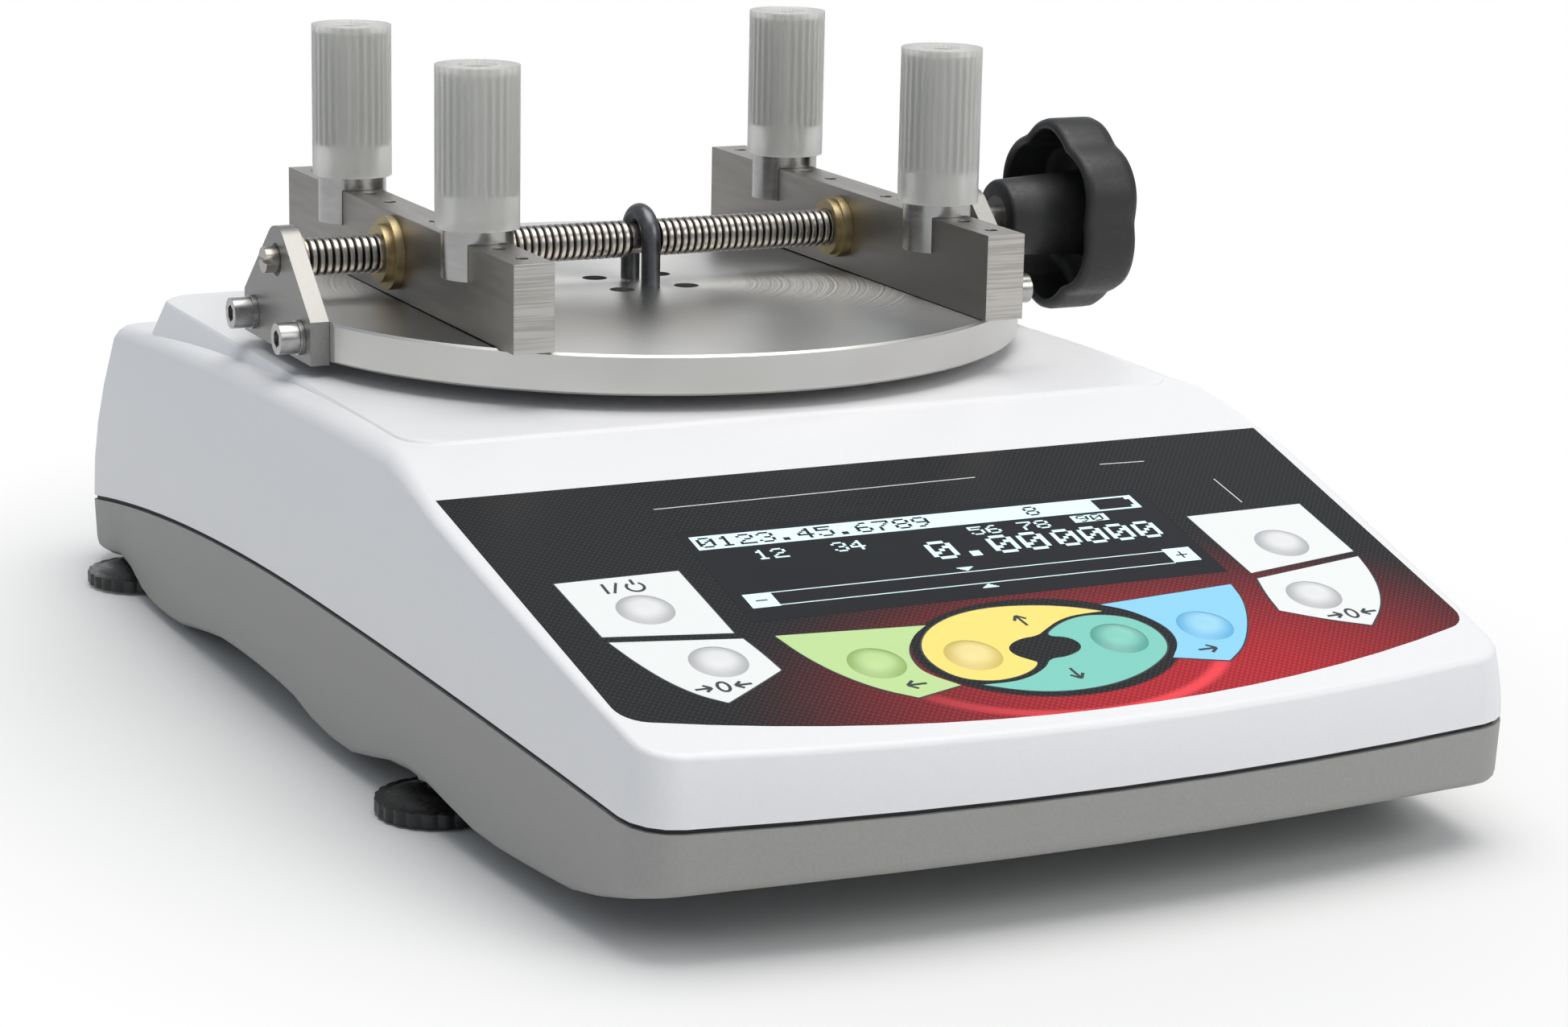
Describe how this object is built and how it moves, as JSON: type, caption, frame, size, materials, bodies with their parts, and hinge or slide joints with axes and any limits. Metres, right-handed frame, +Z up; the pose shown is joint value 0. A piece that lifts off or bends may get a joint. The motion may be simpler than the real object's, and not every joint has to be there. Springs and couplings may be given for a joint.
{
  "type": "bottle cap torque tester",
  "caption": "Bench torque tester for bottle caps: sloped keypad case on levelling feet, round steel table with screw-driven jaws and sleeved pegs that grip a bottle.",
  "frame": {"origin": "centre of the clamp table's top face, on the torque axis; the bench is at z = -0.094", "axes": "+Z up along the torque axis, -Y towards the keypad, +X towards the knob"},
  "size_m": [0.264, 0.3862, 0.159],
  "materials": {
    "white_shell": "fine satin moulded ABS",
    "grey_shell": "fine textured moulded ABS",
    "gasket": "dull black elastomer",
    "label": "printed polycarbonate overlay, fine twill print",
    "key_dome": "embossed clear-coated dome",
    "window": "smoked hard-coated window, opaque in use",
    "display": "display module",
    "board": "printed circuit board",
    "battery": "shrink-wrapped cells",
    "steel": "turned stainless steel",
    "ground_steel": "satin ground steel",
    "dark_steel": "dark oiled steel",
    "brass": "turned brass",
    "bush": "dark bearing polymer",
    "sleeve": "translucent soft polymer sleeve",
    "knob": "black satin phenolic",
    "foot": "black moulded thumbwheel",
    "pad": "soft non-slip pad",
    "connector": "black moulded connector"
  },
  "bodies": {
    "case": {"upper_case": "white_shell", "lower_case": "grey_shell", "case_gasket": "gasket", "keypad_overlay": "label", "switch_layer": "label", "snap_domes": "steel", "display_window": "window", "display_module": "display", "main_board": "board", "battery_pack": "battery", "cell_plate": "steel", "torque_cell": "steel", "cell_screws": "dark_steel", "spindle": "steel", "table_screws": "dark_steel", "clamp_table": "steel", "left_bracket": "steel", "right_bracket": "steel", "bracket_screws": "dark_steel", "spring_washers": "steel", "journal_bushes": "bush", "thrust_washers": "brass", "u_bolt": "dark_steel", "power_jack": "connector", "data_port": "steel", "case_screws": "steel", "foot_inserts": "brass"},
    "power_key_cap": {"power_key": "key_dome"},
    "left_enter_key_cap": {"left_enter_key": "key_dome"},
    "start_key_cap": {"start_key": "key_dome"},
    "function_key_cap": {"function_key": "key_dome"},
    "menu_key_cap": {"menu_key": "key_dome"},
    "print_key_cap": {"print_key": "key_dome"},
    "unit_key_cap": {"unit_key": "key_dome"},
    "right_enter_key_cap": {"right_enter_key": "key_dome"},
    "screw": {"lead_screw": "steel", "knob": "knob", "knob_insert": "steel", "knob_set_screw": "dark_steel"},
    "left_slide": {"left_jaw": "ground_steel", "left_nut": "brass", "left_posts": "steel", "left_sleeves": "sleeve", "left_peg_screws": "steel"},
    "right_slide": {"right_jaw": "ground_steel", "right_nut": "brass", "right_posts": "steel", "right_sleeves": "sleeve", "right_peg_screws": "steel"},
    "front_left_pad_body": {"front_left_pad": "pad"},
    "front_left_wheel_body": {"front_left_foot": "foot"},
    "front_right_pad_body": {"front_right_pad": "pad"},
    "front_right_wheel_body": {"front_right_foot": "foot"},
    "back_left_pad_body": {"back_left_pad": "pad"},
    "back_left_wheel_body": {"back_left_foot": "foot"},
    "back_right_pad_body": {"back_right_pad": "pad"},
    "back_right_wheel_body": {"back_right_foot": "foot"}
  },
  "joints": [
    {"name": "lead_screw_turn", "type": "hinge", "parent": "case", "child": "screw", "pos_m": [0, 0, 0.0117], "axis": [1, 0, 0], "range_deg": [-9000, 3240]},
    {"name": "left_jaw_slide", "type": "slide", "parent": "case", "child": "left_slide", "axis": [-1, 0, 0], "range_m": [-0.05, 0.018]},
    {"name": "right_jaw_slide", "type": "slide", "parent": "case", "child": "right_slide", "axis": [1, 0, 0], "range_m": [-0.05, 0.018]},
    {"name": "power_key_press", "type": "slide", "parent": "case", "child": "power_key_cap", "axis": [0, 0.247, -0.969], "range_m": [0, 0.0005], "stiffness_N_per_m": 2000},
    {"name": "left_enter_key_press", "type": "slide", "parent": "case", "child": "left_enter_key_cap", "axis": [0, 0.247, -0.969], "range_m": [0, 0.0005], "stiffness_N_per_m": 2000},
    {"name": "start_key_press", "type": "slide", "parent": "case", "child": "start_key_cap", "axis": [0, 0.247, -0.969], "range_m": [0, 0.0005], "stiffness_N_per_m": 2000},
    {"name": "function_key_press", "type": "slide", "parent": "case", "child": "function_key_cap", "axis": [0, 0.247, -0.969], "range_m": [0, 0.0005], "stiffness_N_per_m": 2000},
    {"name": "menu_key_press", "type": "slide", "parent": "case", "child": "menu_key_cap", "axis": [0, 0.247, -0.969], "range_m": [0, 0.0005], "stiffness_N_per_m": 2000},
    {"name": "print_key_press", "type": "slide", "parent": "case", "child": "print_key_cap", "axis": [0, 0.247, -0.969], "range_m": [0, 0.0005], "stiffness_N_per_m": 2000},
    {"name": "unit_key_press", "type": "slide", "parent": "case", "child": "unit_key_cap", "axis": [0, 0.247, -0.969], "range_m": [0, 0.0005], "stiffness_N_per_m": 2000},
    {"name": "right_enter_key_press", "type": "slide", "parent": "case", "child": "right_enter_key_cap", "axis": [0, 0.247, -0.969], "range_m": [0, 0.0005], "stiffness_N_per_m": 2000},
    {"name": "front_left_foot_height", "type": "slide", "parent": "case", "child": "front_left_pad_body", "axis": [0, 0, 1], "range_m": [-0.004, 0]},
    {"name": "front_left_foot_turn", "type": "hinge", "parent": "front_left_pad_body", "child": "front_left_wheel_body", "pos_m": [-0.1065, -0.131, -0.09], "axis": [0, 0, 1], "range_deg": [-1440, 0]},
    {"name": "front_right_foot_height", "type": "slide", "parent": "case", "child": "front_right_pad_body", "axis": [0, 0, 1], "range_m": [-0.004, 0]},
    {"name": "front_right_foot_turn", "type": "hinge", "parent": "front_right_pad_body", "child": "front_right_wheel_body", "pos_m": [0.1065, -0.131, -0.09], "axis": [0, 0, 1], "range_deg": [-1440, 0]},
    {"name": "back_left_foot_height", "type": "slide", "parent": "case", "child": "back_left_pad_body", "axis": [0, 0, 1], "range_m": [-0.004, 0]},
    {"name": "back_left_foot_turn", "type": "hinge", "parent": "back_left_pad_body", "child": "back_left_wheel_body", "pos_m": [-0.11, 0.092, -0.09], "axis": [0, 0, 1], "range_deg": [-1440, 0]},
    {"name": "back_right_foot_height", "type": "slide", "parent": "case", "child": "back_right_pad_body", "axis": [0, 0, 1], "range_m": [-0.004, 0]},
    {"name": "back_right_foot_turn", "type": "hinge", "parent": "back_right_pad_body", "child": "back_right_wheel_body", "pos_m": [0.11, 0.092, -0.09], "axis": [0, 0, 1], "range_deg": [-1440, 0]}
  ],
  "couplings": [
    {"joint": "right_jaw_slide", "follows": "left_jaw_slide", "ratio": 1},
    {"joint": "lead_screw_turn", "follows": "left_jaw_slide", "rad_per_m": 3141.6},
    {"joint": "front_left_foot_turn", "follows": "front_left_foot_height", "rad_per_m": 6283.2},
    {"joint": "front_right_foot_turn", "follows": "front_right_foot_height", "rad_per_m": 6283.2},
    {"joint": "back_left_foot_turn", "follows": "back_left_foot_height", "rad_per_m": 6283.2},
    {"joint": "back_right_foot_turn", "follows": "back_right_foot_height", "rad_per_m": 6283.2}
  ]
}
